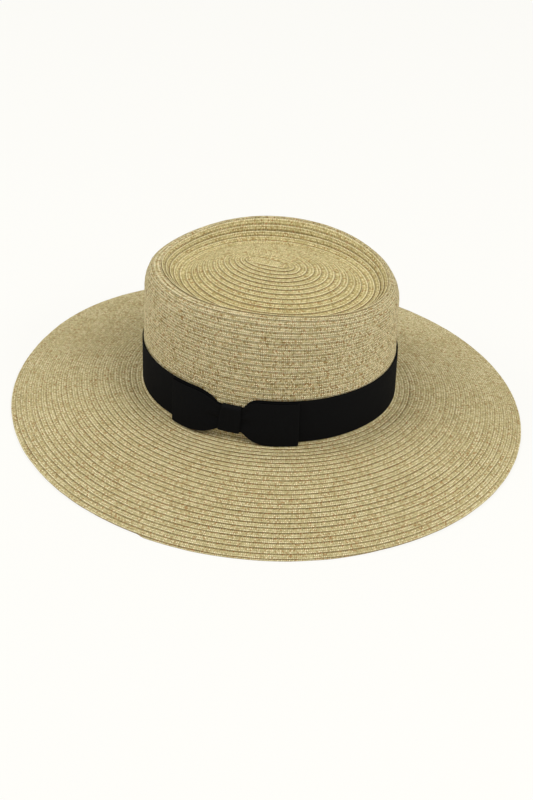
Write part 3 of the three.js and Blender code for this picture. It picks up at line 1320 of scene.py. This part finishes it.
@dataclass
class Loop(Ribbon):
    """One loop of the bow: a back ply out from the knot, a fold, and a front ply back to the knot."""

    rests_on: tuple[str, ...] = ("ribbon_band",)
    towards: int = 1  # 1 for the rear loop, -1 for the front one
    end_arc: float = 0.0  # where its fold lies along the band
    sag: float = 0.8 * MM  # how far it hangs below the band
    tuck: float = 3 * MM  # how far it runs in behind the knot
    back: float = 1.95 * MM  # offset of the back ply's middle
    fold_radius: float = 0.95 * MM
    at_knot: float = 3.05 * MM  # offset of the front ply's middle behind the knot's face
    swell: float = 1.25 * MM
    flare: float = 1.0 * MM  # how far the lower edge stands out over the brim
    crease: float = 0.9 * MM  # depth of the pleat that runs into the knot
    flared: float = 0.4  # share of the way to the fold by which it stands out fully
    creased: float = 1.5 * MM  # how far from the knot the pleat is at its deepest
    ply_points: int = 26  # along each ply
    fold_points: int = 9
    across_points: int = 21

    VALLEYS = ((0.42, 0.13, 1.0), (0.8, 0.1, 0.5))  # share of the width, spread and depth of each
    FADING = (0.02, 0.45)  # share of the way to the fold over which the pleat fades

    @property
    def reach(self) -> float:
        """Length from the knot's side to the fold."""
        return abs(self.end_arc - self.knot.arc) - self.knot.half_length

    def flat(self) -> tuple[float, float]:
        """Its width, and its length along both plies and round the fold."""
        return self.width, 2 * (self.reach + self.tuck) + self.fold_radius

    def surface(self) -> Array:
        """The loop: a line out, half a circle and a line back, between the ribbon's edges.

        The front ply swells as a sine from the knot to the fold, leans out towards its lower edge, and
        has valleys as bell curves across it that fade away from the knot.

        Returns:
            Its points.
        """
        fold = self.reach - self.fold_radius - self.thickness / 2
        plies = np.linspace(-self.tuck, fold, self.ply_points)
        turn = np.linspace(0, math.pi, self.fold_points)[1:-1]
        round_fold = fold + self.fold_radius * np.sin(turn)
        distance = np.concatenate([plies, round_fold, plies[::-1]])[:, None]
        rise = self.fold_radius * (1 - np.cos(turn))
        crossing = rise / (2 * self.fold_radius)
        front = np.concatenate([np.zeros_like(plies), crossing, np.ones_like(plies)])[:, None]
        open_ = np.clip(distance / fold, 0, 1)
        outward = self.at_knot + (self.back + 2 * self.fold_radius - self.at_knot) * open_
        base = self.back + (outward - self.back) * front
        share = np.linspace(0, 1, self.across_points)[None, :]
        arc = self.knot.arc + self.towards * (self.knot.half_length + distance)
        bottom = self.bottom - self.sag
        lower, upper = self.knot.edges(arc, bottom, bottom + self.width)
        height = lower + (upper - lower) * share
        swollen = self.swell * np.sin(math.pi * open_) * (1 - 0.5 * (2 * share - 1) ** 2)
        leaning = self.flare * (1 - share) ** 2 * ease(open_, 0, self.flared)
        valley = sum(deep * np.exp(-(((share - at) / wide) ** 2)) for at, wide, deep in self.VALLEYS)
        fading = (1 - ease(open_, *self.FADING)) * ease(distance, -self.tuck, self.creased)
        pleat = self.crease * valley * fading
        return self.foot.place(arc, base + front * (swollen + leaning - pleat), height)


@dataclass
class KnotWrap(Ribbon):
    """The short piece that wraps over both loops, its ribbon folded lengthwise."""

    name: str = "ribbon_knot"
    node: str = "bow_knot"
    rests_on: tuple[str, ...] = ("ribbon_front_loop", "ribbon_rear_loop")
    thickness: float = 0.8 * MM
    back: float = 0.8 * MM  # offset from the crown where it starts and ends
    corner: float = 1.5 * MM  # radius where it turns over the loops' edges
    bow_out: float = 0.25 * MM  # height of its folds
    tuck_back: float = 0.5 * MM  # how far its sides turn in
    taper: float = 0.1  # how much narrower it is at its upper end
    side_points: int = 5
    corner_points: int = 6
    face_points: int = 22
    across_points: int = 17

    FACE_FROM = (2 * MM, 4 * MM)  # offsets over which its sides turn into its face

    def path(self) -> tuple[Array, Array]:
        """The wrap's way: out from the crown, round a corner, down its face, round a corner and in.

        Returns:
            The rises from the knot's middle and the offsets from the crown.
        """
        high = self.knot.half_height - self.thickness / 2
        proud = self.knot.proud - self.thickness / 2
        turn = np.linspace(0, math.pi / 2, self.corner_points)
        inward = np.linspace(self.back, proud - self.corner, self.side_points)[:-1]
        corner_rise = high - self.corner + self.corner * np.cos(turn)
        corner_out = proud - self.corner + self.corner * np.sin(turn)
        face = np.linspace(high - self.corner, self.corner - high, self.face_points)[1:-1]
        top, outer = np.full_like(inward, high), np.full_like(face, proud)
        rise = np.concatenate([top, corner_rise, face, -corner_rise[::-1], -top])
        return rise, np.concatenate([inward, corner_out, outer, corner_out[::-1], inward[::-1]])

    def flat(self) -> tuple[float, float]:
        """Its folded width, and its length round the loops."""
        rise, out = self.path()
        return 2 * self.knot.half_length, float(np.hypot(np.diff(rise), np.diff(out)).sum())

    def surface(self) -> Array:
        """The wrap: its path carried along the band, with soft lengthwise folds as two cosines across it.

        Its sides turn in as the sixth power of the way across.

        Returns:
            Its points.
        """
        rise, out = (values[:, None] for values in self.path())
        side = np.linspace(-1, 1, self.across_points)[None, :]
        half = self.knot.half_length * (1 - self.taper * ease(rise, 0, self.knot.half_height))
        wave = np.cos(FULL_TURN * 1.2 * side + 0.5) + 0.6 * np.cos(FULL_TURN * 2.3 * side)
        folds = self.bow_out * wave
        face = ease(out, *self.FACE_FROM)
        sides = -self.tuck_back * face * side**6
        arc = self.knot.arc + side * half + self.knot.lean * rise / self.knot.half_height
        return self.foot.place(arc, out + face * folds * 0.7 + sides, self.knot.middle + rise)


@dataclass
class Bow:
    """The flat bow at the wearer's left: two loops and the wrap between them."""

    foot: CrownFoot
    knot: Knot
    front_end: float = -64.8 * MM
    rear_end: float = 38.5 * MM

    def make(self, material: Material) -> None:
        """Makes the loops and the wrap.

        Args:
            material: The ribbon's material.
        """
        for side, towards, end in (("front", -1, self.front_end), ("rear", 1, self.rear_end)):
            names = f"ribbon_{side}_loop", f"bow_{side}_loop"
            Loop(self.foot, self.knot, *names, towards=towards, end_arc=end).make(material)
        KnotWrap(self.foot, self.knot).make(material)


# Stage


@dataclass(frozen=True)
class Viewpoint:
    """Where the camera stands, what it looks at and its lens."""

    azimuth: float = 100.0
    elevation: float = 36.48
    distance: float = 1.53
    target_height: float = 0.0306
    roll: float = 1.59
    lens: float = 85.0
    sight: float = 50.0  # how far it sees
    aim_right: float = -0.00109  # tangents of the small angles from the target to the picture's middle
    aim_up: float = -0.01182

    def place_camera(self) -> None:
        """Makes the scene's camera: back along its own +Z, right along +X and up along +Y."""
        a, e, r = (math.radians(v) for v in (self.azimuth, self.elevation, self.roll))
        back = Vector((math.sin(a) * math.cos(e), -math.cos(a) * math.cos(e), math.sin(e)))
        level = Vector((math.cos(a), math.sin(a), 0))
        rise = back.cross(level)
        right = level * math.cos(r) + rise * math.sin(r)
        up = rise * math.cos(r) - level * math.sin(r)
        place = Vector((0, CROWN_SHIFT, self.target_height)) + back * self.distance
        towards = (-back + right * self.aim_right + up * self.aim_up).normalized()
        right = towards.cross(up).normalized()
        up = right.cross(towards)
        data = bpy.data.cameras.new("camera")
        data.lens = self.lens
        data.clip_end = self.sight
        camera = bpy.data.objects.new("camera", data)
        axes = Matrix((right, up, -towards)).transposed()
        camera.matrix_world = Matrix.Translation(place) @ axes.to_4x4()
        bpy.context.collection.objects.link(camera)
        bpy.context.scene.camera = camera


@dataclass(frozen=True)
class Stage:
    """The floor, an even light all round and two square soft boxes, one past each end of the hat."""

    floor_half: float = 30.0
    floor_drop: float = 0.26 * MM  # just under the lowest straw
    sky: Colour = (1.0, 0.995, 0.985)
    sky_strength: float = 0.58
    box_place: tuple[float, float, float] = (0.45, 1.3, 1.7)  # the right one's, past the hat's rear
    box_target: float = 0.05  # height over the hat's middle that they face
    box_size: float = 1.0
    box_colour: Colour = (0.98, 1.0, 0.98)
    right_power: float = 27.0
    left_power: float = 22.0

    def lay_floor(self) -> None:
        """Lays the floor, a square."""
        across = np.array([-1, 1, 1, -1]) * self.floor_half
        corners = np.stack([across, np.roll(across, 1), np.full(4, -self.floor_drop)], -1)
        floor = mesh_object("floor", corners, np.array([[0, 1, 2, 3]]), np.zeros((4, 2)))
        floor.data.materials.append(FloorFinish().material())

    def light_sky(self) -> None:
        """Makes the even light from all round."""
        world = bpy.data.worlds.new("studio")
        world.use_nodes = True
        background = world.node_tree.nodes["Background"]
        background.inputs["Color"].default_value = (*self.sky, 1.0)
        background.inputs["Strength"].default_value = self.sky_strength
        bpy.context.scene.world = world

    def hang_box(self, name: str, side: int, power: float) -> None:
        """Hangs a soft box.

        Args:
            name: Its name.
            side: 1 past the hat's rear, -1 past its front.
            power: Its power in watts.
        """
        data = bpy.data.lights.new(name, "AREA")
        data.shape = "SQUARE"
        data.size = self.box_size
        data.energy = power
        data.color = self.box_colour
        light = bpy.data.objects.new(name, data)
        x, y, height = self.box_place
        light.location = Vector((x, side * y, height))
        towards = Vector((0, 0, self.box_target)) - light.location
        light.rotation_euler = towards.to_track_quat("-Z", "Y").to_euler()
        bpy.context.collection.objects.link(light)

    def make(self) -> None:
        """Sets up the floor, the lights and how the picture is toned."""
        self.lay_floor()
        self.light_sky()
        self.hang_box("right", 1, self.right_power)
        self.hang_box("left", -1, self.left_power)
        bpy.context.scene.view_settings.view_transform = "Standard"


def main() -> None:
    """Builds the hat, the stage, the lights and the camera."""
    logging.basicConfig(level=logging.INFO, format="%(name)s %(message)s")
    STRAW_CROWN.make(CROWN_STRAW.material())
    STRAW_BRIM.make(BRIM_STRAW.material())
    ribbon = RibbonFinish().material()
    foot = CrownFoot()
    HatBand(foot, Knot()).make(ribbon)
    Bow(foot, Knot()).make(ribbon)
    Stage().make()
    Viewpoint().place_camera()


if __name__ == "__main__":
    main()
